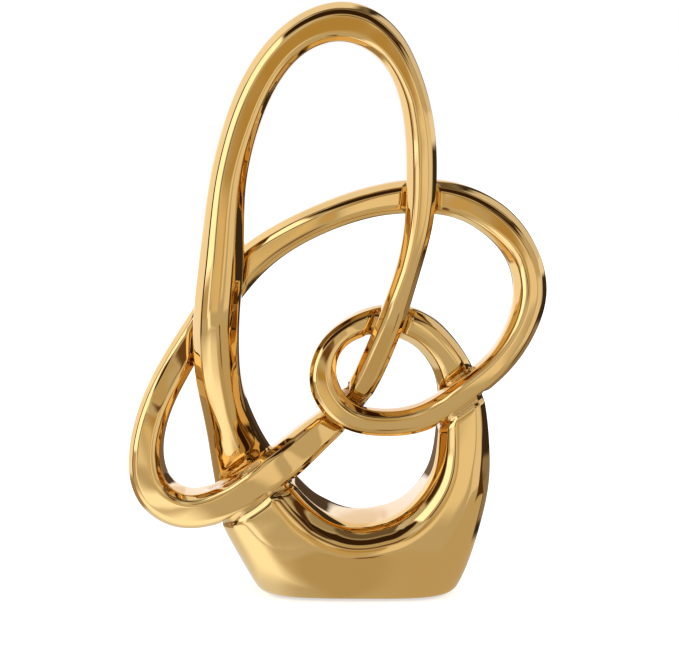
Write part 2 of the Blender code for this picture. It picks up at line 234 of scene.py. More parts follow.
rows, owners = readStations()
chords = np.linalg.norm(np.roll(rows[:, :3], -1, axis=0) - rows[:, :3], axis=1)
knots = np.concatenate([[0.0], np.cumsum(chords)])


def bandAxes(places, curve):
    # middle of the band, the way ahead, the way to its outer edge, and the way to the back
    step = 0.05
    places = np.asarray(places, float)
    here = curve(places)
    ahead = curve(places + step)[:, :3] - curve(places - step)[:, :3]
    ahead /= np.linalg.norm(ahead, axis=1)[:, None]
    back = np.array([0.0, 1.0, 0.0]) - ahead * ahead[:, 1:2]
    back /= np.linalg.norm(back, axis=1)[:, None]
    outwards = np.cross(ahead, back)
    lean = -here[:, 7:8]
    outwards = outwards * np.cos(lean) + np.cross(back, outwards) * np.sin(lean)
    return here, ahead, outwards, back


def leanTheCradle():
    first = len(rows) - len(cradle["edgeStations"])
    _, _, outwards, _ = bandAxes(knots[first:len(rows)], closedCurve(knots, rows))
    for i, row in enumerate(cradle["edgeStations"]):
        square = math.atan2(outwards[i, 2], outwards[i, 0])
        asked = math.atan2(row[3] - row[1], row[2] - row[0])
        rows[first + i, 7] = (asked - square + math.pi) % (2 * math.pi) - math.pi


leanTheCradle()


def bandSpan(node):
    starts = [i for i, owner in enumerate(owners) if owner == node]
    return knots[starts[0]], knots[starts[-1] + 1]


def soften(inside, edge):
    part = np.clip(inside / edge, 0.0, 1.0)
    return part * part * (3 - 2 * part)


def easedCurve(rows):
    # y, depths and radii run straight between the stations, and then everything is evened out
    step = knots[-1] / round(knots[-1] / easing["step"])
    fine = np.arange(round(knots[-1] / step) + 1) * step
    drawn = closedCurve(knots, rows)(fine[:-1])
    for column in (1, 4, 5, 6):
        drawn[:, column] = np.interp(fine[:-1], knots, np.append(rows[:, column], rows[0, column]))
    first, last = bandSpan("cradle")
    share = soften(np.minimum(fine[:-1] - first, last - fine[:-1]), easing["cradleBlend"])
    even = np.zeros_like(drawn)
    steps = np.arange(-easing["reach"], easing["reach"] + 1)
    for column, size in enumerate(easing["sizes"]):
        for times, part in ((1.0, 1 - share), (easing["cradleTimes"], share)):
            weights = np.exp(-(steps * step / (size * times)) ** 2 / 2)
            weights /= weights.sum()
            even[:, column] += part * sum(weight * np.roll(drawn[:, column], -shift)
                                          for shift, weight in zip(steps, weights))
    return closedCurve(fine, even)


def frontAt(rows, index, front):
    back = rows[index, 1] + rows[index, 4] / 2
    rows[index, 1], rows[index, 4] = (front + back) / 2, back - front


def cradleRows():
    # the base comes flush up to the bands that cross it, and its neighbours dive behind them
    own, lapped = rows.copy(), rows.copy()
    first = len(rows) - len(cradle["edgeStations"])
    frontAt(own, first - 1, cradle["ownFronts"][0])
    frontAt(own, 0, cradle["ownFronts"][1])
    frontAt(lapped, first, cradle["lapFronts"][0])
    frontAt(lapped, len(rows) - 1, cradle["lapFronts"][1])
    return own, lapped


ownRows, lappedRows = cradleRows()
lapped = easedCurve(lappedRows)
curves = {length["node"]: lapped for length in lengths}
curves["cradle"] = easedCurve(ownRows)


def paredEdge():
    # a quarter turn from a face to a side over two flats, with soft creases between them
    first, second = ribbon["flats"]
    starts = (0.0, ribbon["flatSpans"][1], ribbon["flatSpans"][3])
    ends = (ribbon["flatSpans"][0], ribbon["flatSpans"][2], 1.0)
    run = np.linspace(0.0, 1.0, ribbon["paringPoints"])
    turn = sum(angle * np.clip((run - start) / (end - start), 0.0, 1.0)
               for angle, start, end in zip((first, second - first, 90.0 - second), starts, ends))
    step = np.diff(run)
    middle = np.radians((turn[1:] + turn[:-1]) / 2)
    across = np.concatenate([[0.0], np.cumsum(np.cos(middle) * step)])
    drop = np.concatenate([[0.0], np.cumsum(np.sin(middle) * step)])
    spread = ribbon["evenPoints"] * run + (1 - ribbon["evenPoints"]) * turn / 90.0
    picked = np.interp(np.linspace(0.0, 1.0, ribbon["cornerSteps"] + 1), spread, run)
    return np.interp(picked, run, across / across[-1]), 1 - np.interp(picked, run, drop / drop[-1])


def roundEdge(power):
    turns = np.linspace(0.0, math.pi / 2, ribbon["cornerSteps"] + 1)
    return np.sin(turns) ** (2 / power), np.abs(np.cos(turns)) ** (2 / power)


def sectionShape(here):
    # across and along coordinates of the soft rectangle, for every ring at once
    half, deep = here[:, 3] / 2, here[:, 4] / 2
    limit = np.minimum(half, deep) * ribbon["broadestCorner"]
    outer = np.minimum(here[:, 5] * ribbon["cornerGrow"], limit)
    inner = np.minimum(here[:, 6] * ribbon["cornerGrow"], limit)
    pared = paredEdge()
    edges = []
    for radius, power in zip((outer, inner), ribbon["cornerPowers"]):
        low, high = ribbon["pared"]
        share = soften(high - radius / ribbon["cornerGrow"], high - low)[:, None]
        edges.append([radius[:, None] * (share * flat + (1 - share) * full)
                      for flat, full in zip(pared, roundEdge(power))])
    corners = []
    for side, end, (radius, edge) in ((1, 1, (outer, edges[0])), (-1, 1, (inner, edges[1])),
                                      (-1, -1, (inner, edges[1])), (1, -1, (outer, edges[0]))):
        x = side * ((half - radius)[:, None] + edge[0])
        y = end * ((deep - radius)[:, None] + edge[1])
        order = slice(None, None, -side * end)
        corners.append(list(zip(x.T[order], y.T[order])))
    outline = []
    for corner, following in zip(corners, corners[1:] + corners[:1]):
        outline += corner
        (x0, y0), (x1, y1) = corner[-1], following[0]
        for step in range(1, ribbon["faceSteps"]):
            part = step / ribbon["faceSteps"]
            outline.append((x0 + (x1 - x0) * part, y0 + (y1 - y0) * part))
    across = np.array([point[0] for point in outline]).T
    along = np.array([point[1] for point in outline]).T
    u, v = across / half[:, None], along / deep[:, None]
    return across - u * ribbon["sideCrown"] * v ** 2, along - v * ribbon["faceCrown"] * u ** 2


def bandRings(places, node):
    # the cradle has its own front, and the back that its neighbours have, so that they meet there
    rings = []
    for curve in (lapped, curves[node]):
        here, ahead, outwards, back = bandAxes(places, curve)
        across, along = sectionShape(here)
        rings.append(here[:, None, :3] + outwards[:, None, :] * across[:, :, None]
                     + back[:, None, :] * along[:, :, None])
    flat = (here[:, 4] / 2 - here[:, 5:7].max(axis=1))[:, None]
    share = np.clip((along + flat) / (2 * flat), 0.0, 1.0)[:, :, None]
    return rings[0] * share + rings[1] * (1 - share)


def ringNormals(points):
    along = np.gradient(points, axis=0)
    around = np.roll(points, -1, axis=1) - np.roll(points, 1, axis=1)
    normals = np.cross(around, along)
    normals /= np.maximum(np.linalg.norm(normals, axis=2)[:, :, None], 1e-12)
    return normals


def tubeFaces(ringCount, pointCount):
    i, j = np.meshgrid(np.arange(ringCount - 1), np.arange(pointCount), indexing="ij")
    i, j = i.ravel(), j.ravel()
    k = (j + 1) % pointCount
    return np.stack([i * pointCount + j, (i + 1) * pointCount + j,
                     (i + 1) * pointCount + k, i * pointCount + k], axis=1)


bands = {}
for length in lengths:
    first, last = bandSpan(length["node"])
    places = np.linspace(first, last, int(round((last - first) / ribbon["ringStep"])) + 1)
    points = bandRings(places, length["node"])
    bands[length["node"]] = {"places": places, "points": points, "normals": ringNormals(points)}
print("bands laid out")


# Where one band passes another, both swell into each other: slip was smoothed into the corner
# with a wet finger before the firing, more of it where the corner is narrow.

joints = {
    "reach": 34.0,            # how far from a crossing its corners are smoothed, in millimetres
    "beyond": 14.0,           # how much further the other band is looked for
    "walk": 0.5,              # step along a band that is looked for
    "softness": 4.4,          # size of the smoothed corner
    "rounds": 8,              # of working out how high the corner is filled
    "squareRounds": 4,        # of finding the place on a band that is square to a spot
    "stride": 1.5,            # longest step of such a round
    "crossings": [            # length that starts at the joint, band in front
        ("tall_loop", "left_ribbon"),
        ("left_ribbon", "right_loop"),
        ("arch", "tall_loop"),
        ("right_loop", "tall_loop"),
        ("bridge", "tall_loop"),
        ("cradle", "right_loop"),
    ],
    "webs": [                 # x, z of a narrow corner, more softness there, and its size
        (4.5, 96.5, 18.0, 9.0),
        (13.6, 121.5, 3.0, 5.0),
        (16.0, 91.5, 5.0, 6.0),
        (-68.5, 107.0, 4.0, 7.0),
        (-45.0, 168.5, 2.5, 6.0),
        (33.4, 134.5, 2.5, 5.0),
        (63.5, 111.0, 3.0, 6.0),
        (47.5, 98.0, 3.0, 5.0),
        (-10.0, 89.5, 3.0, 6.0),
    ],
    "paintedShadeFill": 2.2,            # painted shade: where the corner is filled this high, the brown shade painted into its colour is full
    "flatFace": 0.5,          # how far the band ahead turns from its face before it swells in full
    "seamDepth": 0.22,        # the slip joint sinks a little in the kiln and leaves a faint groove
    "seamWidth": 0.9,
    "endSpace": 5.0,          # crossings are looked for this far from a length's ends
}


def placeNear(node, x, z):
    first, last = bandSpan(node)
    places = np.arange(first + joints["endSpace"], last - joints["endSpace"], joints["walk"])
    found = curves[node](places)
    return float(places[np.argmin(np.hypot(found[:, 0] - x, found[:, 2] - z))])


def bandDistance(spots, stretch):
    # distance of each spot from the surface of one stretch of the ribbon, less than 0 inside
    node, first, last = stretch
    curve = curves[node]
    places = np.arange(first, last, joints["walk"])
    path = curve(places)[:, :3]
    nearest = np.argmin(((spots[:, None, :] - path[None, :, :]) ** 2).sum(axis=2), axis=1)
    at = places[nearest]
    for _ in range(joints["squareRounds"]):
        here, ahead, outwards, back = bandAxes(at, curve)
        square = np.cross(outwards, back)
        off = spots - here[:, :3]
        step = (off * square).sum(axis=1) / (ahead * square).sum(axis=1)
        at = np.clip(at + np.clip(step, -joints["stride"], joints["stride"]), first, last)
    here, ahead, outwards, back = bandAxes(at, curve)
    off = spots - here[:, :3]
    u, v = (off * outwards).sum(axis=1), (off * back).sum(axis=1)
    past = np.abs((off * np.cross(outwards, back)).sum(axis=1))     # beyond the stretch's ends
    past = np.maximum(past - joints["walk"], 0.0)
    radius = np.where(u > 0, here[:, 5], here[:, 6])
    across = np.abs(u) - here[:, 3] / 2 + radius
    along = np.abs(v) - here[:, 4] / 2 + radius
    outside = np.hypot(np.maximum(across, 0.0), np.maximum(along, 0.0))
    away = outside + np.minimum(np.maximum(across, along), 0.0) - radius
    return np.where(past > 0, np.hypot(np.maximum(away, 0.0), past), away)


def softnessAt(spots, ways):
    softness = np.full(len(spots), joints["softness"])
    for x, z, more, size in joints["webs"]:
        right, up = x - spots[:, 0], z - spots[:, 2]
        reach = np.hypot(right, up)
        facing = np.clip((right * ways[:, 0] + up * ways[:, 2]) / np.maximum(reach, 1.0), 0.0, 1.0)
        softness += more * facing * np.exp(-(reach / size) ** 2)
    return softness


def swellTowards(node, middle, stretches, ahead):
    # raises the surface of a band where another stretch of the ribbon comes near; the band that
    # lies ahead keeps its flat face
    band = bands[node]
    points, normals = band["points"].reshape(-1, 3), band["normals"].reshape(-1, 3)
    near = np.hypot(points[:, 0] - middle[0], points[:, 2] - middle[2]) < joints["reach"]
    near = np.where(near)[0]
    if len(near) == 0:
        return
    start, way = points[near], normals[near]
    softness = softnessAt(start, way)
    rise = np.zeros(len(near))
    for _ in range(joints["rounds"]):
        spots = start + way * rise[:, None]
        away = np.min([bandDistance(spots, stretch) for stretch in stretches], axis=0)
        part = np.clip(1 - np.abs(rise - away) / softness, 0.0, 1.0)
        rise = (rise + softness / 4 * part ** 2) / 2
    if ahead:
        rise = rise * soften(1 - np.abs(way[:, 1]), joints["flatFace"])
    band["rise"][near] = np.maximum(band["rise"][near], rise)


def smoothJoints():
    names = [length["node"] for length in lengths]
    for band in bands.values():
        band["rise"] = np.zeros(band["points"].shape[0] * band["points"].shape[1])
    for node, front in joints["crossings"]:
        joint, _ = bandSpan(node)
        middle = lapped([joint])[0, :3]
        over = placeNear(front, middle[0], middle[2])
        reach = joints["reach"] + joints["beyond"]
        before = names[names.index(node) - 1]
        for behind in (node, before):
            swellTowards(behind, middle, [(front, over - reach, over + reach)], False)
        end = bandSpan(before)[1]
        both = [(before, end - reach, end), (node, joint, joint + reach)]
        swellTowards(front, middle, both, True)
    for band in bands.values():
        rise = band["rise"].reshape(band["points"].shape[:2])
        band["points"] = band["points"] + band["normals"] * rise[:, :, None]


def sinkSeam(band):
    # a faint groove round both ends of a cast length, where the slip joint was fettled
    depth, width = joints["seamDepth"], joints["seamWidth"]
    for side in (0, -1):
        away = np.abs(band["places"] - band["places"][side])
        band["points"] -= band["normals"] * (depth * np.exp(-(away / width) ** 2))[:, None, None]


castWall = {                 # slow waves, in a few directions so that no pattern shows
    "depth": 0.03,           # how far the cast wall strays from true, in millimetres
    "size": 40.0,            # length of a wave
    "waves": [               # direction, where a longer one is a shorter wave, phase, and share
        ((1.0, 0.3, 0.5), 0.4, 1.0),
        ((-0.4, 0.6, 1.0), 1.9, 0.8),
        ((0.7, -0.8, -0.9), 3.1, 0.7),
        ((1.7, 0.9, -1.2), 4.4, 0.45),
        ((-1.5, 1.1, 1.9), 5.3, 0.35),
    ],
}


def unevenness(points):
    stray = np.zeros(points.shape[:2])
    for way, phase, share in castWall["waves"]:
        stray += share * np.sin(points @ np.array(way) * (2 * math.pi / castWall["size"]) + phase)
    return stray * castWall["depth"]


smoothJoints()
for band in bands.values():
    sinkSeam(band)
    band["points"] += band["normals"] * unevenness(band["points"])[:, :, None]
print("joints smoothed")


def meshPiece(name, vertices, faces, materials):
    data = bpy.data.meshes.new(name)
    data.from_pydata(vertices, [], faces)
    data.validate()
    data.update()
    piece = bpy.data.objects.new(name, data)
    bpy.context.scene.collection.objects.link(piece)
    for material in materials:
        data.materials.append(material)
    data.shade_smooth()
    return piece


def linear(hexColour):
    # an sRGB colour as the shaders want it
    parts = [int(hexColour[i:i + 2], 16) / 255 for i in (1, 3, 5)]
    return tuple(part / 12.92 if part <= 0.04045 else ((part + 0.055) / 1.055) ** 2.4
                 for part in parts) + (1.0,)


def addNode(tree, kind, settings=None, **links):
    # a node with its settings; links and plain values go to its inputs by name or number
    node = tree.nodes.new(kind)
    for name, setting in (settings or {}).items():
        setattr(node, name, setting)
    for key, value in links.items():
        socket = node.inputs[int(key[1:]) if key[1:].isdigit() else key.replace("_", " ")]
        if isinstance(value, bpy.types.NodeSocket):
            tree.links.new(value, socket)
        else:
            socket.default_value = value
    return node


# Gold lustre over a clear glaze on stoneware: brushed on as metal in oil and fired, a mirror
# of real gold that keeps the slight orange peel of the glaze below it.
goldLustre = {
    "colour": "#E7C685",
    "deepColour": "#E3BD78",
    "cloudSize": 30.0,        # millimetres, of the drift from one to the other
    "paintedShadeColour": "#7E4C1C",  # painted shade: deep in the filled corners between the bands the gold is darkened to this brown
    "paintedShadeShare": 0.8,
    "roughness": 0.03,
    "jointRoughness": 0.14,   # as much more in a joint
    "peelSize": 2.4,          # millimetres
    "peelDepth": 0.004,
    "swellSize": 14.0,
    "swellDepth": 0.02,
    "sharpEdge": 50.0,        # degrees, at the cut ends and the foot
}


def makeGoldLustre():
    material = bpy.data.materials.new("gold_lustre_on_glaze")
    material.use_nodes = True
    tree = material.node_tree
    shader = tree.nodes["Principled BSDF"]
    place = addNode(tree, "ShaderNodeTexCoord").outputs["Object"]
    cloud = addNode(tree, "ShaderNodeTexNoise", Vector=place,
                    Scale=1 / (goldLustre["cloudSize"] * mm), Detail=2.0)
    tint = addNode(tree, "ShaderNodeMix", {"data_type": "RGBA"}, _0=cloud.outputs["Fac"],
                   _6=linear(goldLustre["colour"]), _7=linear(goldLustre["deepColour"]))
    # painted shade: how full each corner between the bands is darkens the colour towards brown
    # there, and the same mask roughens it
    crevice_shade_and_roughness = addNode(tree, "ShaderNodeAttribute", {"attribute_name": "crevice_shade_and_roughness"})
    paintedShade = addNode(tree, "ShaderNodeMath", {"operation": "MULTIPLY"}, _0=crevice_shade_and_roughness.outputs["Fac"],
                   _1=goldLustre["paintedShadeShare"])
    tint = addNode(tree, "ShaderNodeMix", {"data_type": "RGBA"}, _0=paintedShade.outputs[0],
                   _6=tint.outputs[2], _7=linear(goldLustre["paintedShadeColour"]))
    tree.links.new(tint.outputs[2], shader.inputs["Base Color"])
    swell = addNode(tree, "ShaderNodeTexNoise", Vector=place,
                    Scale=1 / (goldLustre["swellSize"] * mm), Detail=1.0)
    peel = addNode(tree, "ShaderNodeTexNoise", Vector=place,
                   Scale=1 / (goldLustre["peelSize"] * mm), Detail=1.0)
    wide = addNode(tree, "ShaderNodeBump", Height=swell.outputs["Fac"], Strength=1.0,
                   Distance=goldLustre["swellDepth"] * mm)
    fine = addNode(tree, "ShaderNodeBump", Height=peel.outputs["Fac"], Strength=1.0,
                   Distance=goldLustre["peelDepth"] * mm, Normal=wide.outputs["Normal"])
    tree.links.new(fine.outputs["Normal"], shader.inputs["Normal"])
    shader.inputs["Metallic"].default_value = 1.0
    rough = addNode(tree, "ShaderNodeMath", {"operation": "MULTIPLY_ADD"}, _0=crevice_shade_and_roughness.outputs["Fac"],
                    _1=goldLustre["jointRoughness"], _2=goldLustre["roughness"])
    tree.links.new(rough.outputs[0], shader.inputs["Roughness"])
    return material


goldMaterial = makeGoldLustre()

for length in lengths:
    band = bands[length["node"]]
    points = band["points"] * mm
    ringCount, pointCount = points.shape[:2]
    faces = tubeFaces(ringCount, pointCount).tolist()
    faces.append(list(range(pointCount)))
    faces.append(list(range(pointCount * ringCount - 1, pointCount * (ringCount - 1) - 1, -1)))
    vertices = points.reshape(-1, 3).tolist()
    piece = meshPiece(length["node"] + "_glazed", vertices, faces, [goldMaterial])
    # how full each corner between the bands is, which the gold material uses as painted shade and
    # as extra roughness
    crevice_shade_and_roughness = piece.data.attributes.new("crevice_shade_and_roughness", "FLOAT", "POINT")
    crevice_shade_and_roughness.data.foreach_set("value", soften(band["rise"], joints["paintedShadeFill"]))
    piece.data.set_sharp_from_angle(angle=math.radians(goldLustre["sharpEdge"]))
    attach(piece, "root")
    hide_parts(length["node"])
    length["piece"] = piece
print("bands glazed")


# Stoneware clay, ground flat and left bare below the glaze: buff, matt, with a fine grit.
bareClay = {
    "colour": "#CDB79A",
    "gritColour": "#8F7558",
    "gritSize": 0.9,          # millimetres; the real grit is finer and wouldn't show
    "gritFrom": (0.58, 0.74), # of the noise, where a grain begins and where it is full
    "gritDepth": 0.08,
    "roughness": 0.85,
}

foot = {
    "level": 1.3,             # height of the ground foot above the table, in millimetres
    "edge": 3.2,              # softness of its rim
    "steps": 8,
    "drain": 8.0,             # width of the hole that lets the kiln's air out
    "drainPlace": (9.7, 0.0),
    "drainDepth": 5.0,
    "drainSides": 40,
}


def makeBareClay():
    material = bpy.data.materials.new("bare_stoneware_clay")
    material.use_nodes = True
    tree = material.node_tree
    shader = tree.nodes["Principled BSDF"]
    place = addNode(tree, "ShaderNodeTexCoord").outputs["Object"]
    grit = addNode(tree, "ShaderNodeTexNoise", Vector=place,
                   Scale=1 / (bareClay["gritSize"] * mm), Detail=3.0)
    low, high = bareClay["gritFrom"]
    spots = addNode(tree, "ShaderNodeMapRange", Value=grit.outputs["Fac"], _1=low, _2=high)
    tint = addNode(tree, "ShaderNodeMix", {"data_type": "RGBA"}, _0=spots.outputs[0],
                   _6=linear(bareClay["colour"]), _7=linear(bareClay["gritColour"]))
    tree.links.new(tint.outputs[2], shader.inputs["Base Color"])
    bump = addNode(tree, "ShaderNodeBump", Height=grit.outputs["Fac"], Strength=1.0,
                   Distance=bareClay["gritDepth"] * mm)
    tree.links.new(bump.outputs["Normal"], shader.inputs["Normal"])
    shader.inputs["Roughness"].default_value = bareClay["roughness"]
    return material


def grindFoot(piece):
    # cuts the cradle level, rounds the rim, and closes it with bare clay round the drain hole
    level, edge = foot["level"] * mm, foot["edge"] * mm
    shape = bmesh.new()
    shape.from_mesh(piece.data)
    for step in range(foot["steps"], -1, -1):
        height = level + edge * (step / foot["steps"]) ** 2
        bmesh.ops.bisect_plane(shape, geom=shape.verts[:] + shape.edges[:] + shape.faces[:],
                               plane_co=(0, 0, height), plane_no=(0, 0, 1), clear_inner=step == 0)
    shape.normal_update()
    moves = []
    for vertex in shape.verts:
        rise = (vertex.co.z - level) / edge
        way = Vector((vertex.normal.x, vertex.normal.y, 0.0))
        if rise < 1.0 and way.length > 1e-6:
            inset = 1 - math.sqrt(1 - (1 - max(rise, 0.0)) ** 2)
            moves.append((vertex, way.normalized() * edge * inset))
    for vertex, move in moves:
        vertex.co -= move
    rim = [line for line in shape.edges if line.is_boundary]
    x, y = foot["drainPlace"]
    place = Matrix.Translation((x * mm, y * mm, level))
    drain = bmesh.ops.create_circle(shape, segments=foot["drainSides"],
                                    radius=foot["drain"] / 2 * mm, matrix=place)["verts"]
    drainRim = [line for line in shape.edges if line.verts[0] in drain and line.verts[1] in drain]
    ground = bmesh.ops.triangle_fill(shape, edges=rim + drainRim, normal=(0, 0, -1),
                                     use_beauty=True)["geom"]
    grown = bmesh.ops.extrude_edge_only(shape, edges=drainRim)["geom"]
    top = [item for item in grown if isinstance(item, bmesh.types.BMVert)]
    for vertex in top:
        vertex.co.z += foot["drainDepth"] * mm
    walls = [item for item in grown if isinstance(item, bmesh.types.BMFace)]
    topRim = [item for item in grown if isinstance(item, bmesh.types.BMEdge)
              and item.verts[0] in top and item.verts[1] in top]
    cap = bmesh.ops.contextual_create(shape, geom=topRim)["faces"]
    for face in [item for item in ground if isinstance(item, bmesh.types.BMFace)] + walls + cap:
        face.material_index = 1
        face.smooth = False
    bmesh.ops.recalc_face_normals(shape, faces=shape.faces[:])
    shape.to_mesh(piece.data)
    shape.free()


cradle["piece"].data.materials.append(makeBareClay())
grindFoot(cradle["piece"])
print("foot ground")


# Pressed wool felt, punched into dots: dark, matt, a little fuzzy at the edge.
pressedFelt = {
    "colour": "#2B2927",
    "fibreColour": "#4A4744",
    "fibreSize": 0.5,         # millimetres
    "fibreDepth": 0.15,
    "roughness": 0.95,
    "sheen": 0.4,
    "edge": 0.45,             # softness of the punched rim
    "edgeTurns": 18,          # degrees from one row of it to the next
    "inner": (0.35, 0.7),     # rows within a face, as shares of its radius
    "sides": 48,
}


def makePressedFelt():
    material = bpy.data.materials.new("pressed_wool_felt")
    material.use_nodes = True
    tree = material.node_tree
    shader = tree.nodes["Principled BSDF"]
    place = addNode(tree, "ShaderNodeTexCoord").outputs["Object"]
    fibre = addNode(tree, "ShaderNodeTexNoise", Vector=place,
                    Scale=1 / (pressedFelt["fibreSize"] * mm), Detail=4.0, Distortion=1.5)
    tint = addNode(tree, "ShaderNodeMix", {"data_type": "RGBA"}, _0=fibre.outputs["Fac"],
                   _6=linear(pressedFelt["colour"]), _7=linear(pressedFelt["fibreColour"]))
    tree.links.new(tint.outputs[2], shader.inputs["Base Color"])
    bump = addNode(tree, "ShaderNodeBump", Height=fibre.outputs["Fac"], Strength=1.0,
                   Distance=pressedFelt["fibreDepth"] * mm)
    tree.links.new(bump.outputs["Normal"], shader.inputs["Normal"])
    shader.inputs["Roughness"].default_value = pressedFelt["roughness"]
    shader.inputs["Sheen Weight"].default_value = pressedFelt["sheen"]
    return material


feltMaterial = makePressedFelt()


def feltDot(node):
    low, high = [np.array(corner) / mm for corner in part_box(node)]
    middle, radius, edge = (low + high) / 2, (high[0] - low[0]) / 2, pressedFelt["edge"]
    profile = [(radius * part, low[2]) for part in pressedFelt["inner"]]
    for turn in np.radians(np.arange(-90, 91, pressedFelt["edgeTurns"])):
        side = low[2] + edge if turn < 0 else high[2] - edge
        profile.append((radius - edge + edge * math.cos(turn), side + edge * math.sin(turn)))
    profile += [(radius * part, high[2]) for part in reversed(pressedFelt["inner"])]
    x, y = middle[:2]
    count = pressedFelt["sides"]
    turns = [2 * math.pi * k / count for k in range(count)]
    vertices = [((x + r * math.cos(turn)) * mm, (y + r * math.sin(turn)) * mm, z * mm)
                for r, z in profile for turn in turns]
    faces = []
    for row in range(0, (len(profile) - 1) * count, count):
        for k in range(count):
            following = (k + 1) % count
            faces.append((row + k, row + following, row + count + following, row + count + k))
    faces.append(list(range(count - 1, -1, -1)))
    faces.append(list(range((len(profile) - 1) * count, len(profile) * count)))
    piece = meshPiece(node + "_pressed", vertices, faces, [feltMaterial])
    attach(piece, "root")
    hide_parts(node)


for side in ("front_left", "front_right", "back_left", "back_right"):
    feltDot("felt_dot_" + side)
print("felt dots stuck on")


# The studio: a tent of white cloth over the table, painted with what hangs in it. Only
# reflections see it, so the background stays white. Azimuth 0 is in front of the sculpture, 90
# to its right. A ring is measured round the camera: how far from it, and the way round, with 0
# to the right, 90 up and 180 to the left.

studio = {
    "radius": 0.7,
    "middle": (0.0, 0.0, 0.13),
    "lift": 0.0005,           # the cloth lies this far above the table
    "cloth": (0.52, "#FFEFD0"),
    "daylight": (1.206, 1.304, 1.62),    # the lamps outside the tent, whiter than its cloth
    # kind, height of a ring's middle, azimuth from and to, elevation from and to, soft edge,
    # strength and colour; for a ring, how far from the camera and which way round from and to
    "hung": [
        ("patch", 0, -180, 180, 58, 90, 10.0, 0.14, "#FFDDB0"),
        ("patch", 0, -30, 36, -90, -32, 8.0, 0.47, "#FFE6B8"),
        ("patch", 0, 12, 181, -90, -16, 8.0, 0.52, "#FFEAC0"),
        ("patch", 0, -200, -26, -90, -28, 9.0, 0.72, "#FFFBF2"),
        ("patch", 0, -80, -14, -72, -22, 13.0, 1.14, "#FFFAEE"),
        ("patch", 0, 1, 13, -42, -22, 3.0, 0.16, "#FFB878"),
        ("patch", 0, -212, -90, -24, 60, 5.0, 0.96, "#FFF6EA"),
        ("patch", 0, -150, -112, 2, 24, 5.0, 1.10, "#FFF8EE"),
        ("patch", 0, -160, -70, -46, -22, 4.0, 0.36, "#FFDCA8"),
        ("patch", 0, 3, 22, -8, 19, 4.0, 0.84, "#FFF0D4"),
        ("patch", 0, 22, 92, 10, 34, 6.0, 0.54, "#FFEDCC"),
        ("patch", 0, 30, 66, -15, 17, 3.0, 0.78, "#FFF1D8"),
        ("patch", 0, -13, -3, -13, 12, 5.0, 0.73, "#FFE8B8"),
        ("patch", 0, -19, -11, -6, 12, 4.0, 0.80, "#FFF1D4"),
        ("patch", 0, -5, 4, -6, 8, 2.5, 0.56, "#FFDE9E"),
        ("patch", 0, -9, 8, 6, 19, 5.5, 0.45, "#FFD47E"),
        ("patch", 0, 62, 104, -30, -4, 3.0, 0.08, "#FFB070"),
        ("patch", 0, -42, 46, 36, 62, 4.0, 0.035, "#FFB070"),
        ("patch", 0, 40, 104, 35, 46, 3.0, 0.07, "#FFB070"),
        ("patch", 0, 46, 104, 45, 66, 4.0, 0.36, "#FFEACC"),
        ("patch", 0, 16, 44, 28, 40, 3.0, 0.05, "#FFB070"),
        ("patch", 0, -4, 14, 27, 37, 3.0, 0.50, "#FFE6B4"),
        ("patch", 0, -2, 28, 19, 28, 3.0, 0.14, "#FFB878"),
        ("patch", 0, -15, -4, 17, 31, 3.0, 0.66, "#FFFAF0"),
        ("patch", 0, -92, -62, -22, 38, 4.0, 0.06, "#FFB070"),
        ("patch", 0, -78, -28, 52, 70, 4.0, 0.56, "#FFFAF0"),
        ("ring", 3, 31, 62, 124, 183, 2.0, 1.40, "#FFFBF4"),
        ("patch", 0, -42, -26, -14, 3, 3.0, 1.05, "#FFFAF0"),
        ("patch", 0, -62, -41, -14, 2, 3.0, 0.50, "#FFE4B4"),
        ("patch", 0, -37, -14, -26, -7, 5.0, 1.12, "#FFFAF0"),
        ("ring", 3, 18, 24, 127, 192, 1.5, 0.03, "#FFB070"),
        ("patch", 0, 92, 160, -50, 66, 4.0, 0.04, "#FFD8B8"),
        ("patch", 0, 96, 150, -44, -14, 3.0, 0.26, "#FFE4C0"),
        ("patch", 0, 76, 140, 7, 20, 3.0, 0.86, "#FFF6E8"),
        ("patch", 0, 98, 128, 16, 66, 3.0, 0.70, "#FFF6E8"),
        ("patch", 0, 150, 178, -30, 1, 2.0, 0.07, "#FFC898"),
        ("patch", 0, 170, 196, -34, -10, 2.0, 0.16, "#FFD0A0"),
        ("patch", 0, 158, 186, 2, 60, 3.0, 0.84, "#FFEBD0"),
        ("patch", 0, 140, 262, 52, 84, 6.0, 0.86, "#FFF6E8"),
    ],
}


def paintTent(azimuth, elevation):
    a, e = np.radians(azimuth), np.radians(elevation)
    right, front, up = np.sin(a) * np.cos(e), np.cos(a) * np.cos(e), np.sin(e)
    strength, colour = studio["cloth"]
    glow = np.outer(np.ones(len(azimuth)), np.array(linear(colour)[:3]) * strength)
    for kind, height, from0, to0, from1, to1, edge, strength, colour in studio["hung"]:
        if kind == "patch":
            turn = (azimuth - from0) % 360
            inside = np.minimum(elevation - from1, to1 - elevation)
            if to0 - from0 < 360:
                inside = np.minimum(inside, np.minimum(turn, to0 - from0 - turn) * np.cos(e))
        else:
            h = math.radians(height)
            towards = front * math.cos(h) + up * math.sin(h)
            above = up * math.cos(h) - front * math.sin(h)
            away = np.degrees(np.arccos(np.clip(towards, -1.0, 1.0)))
            turn = (np.degrees(np.arctan2(above, right)) - from1) % 360
            round0 = np.sin(np.radians(np.minimum(away, 90)))     # of a turn, in degrees of arc
            inside = np.minimum(np.minimum(away - from0, to0 - away),
                                np.minimum(turn, to1 - from1 - turn) * round0)
        part = soften(inside, edge)[:, None]
        glow = glow * (1 - part) + np.array(linear(colour)[:3]) * strength * part
    return glow * np.array(studio["daylight"])


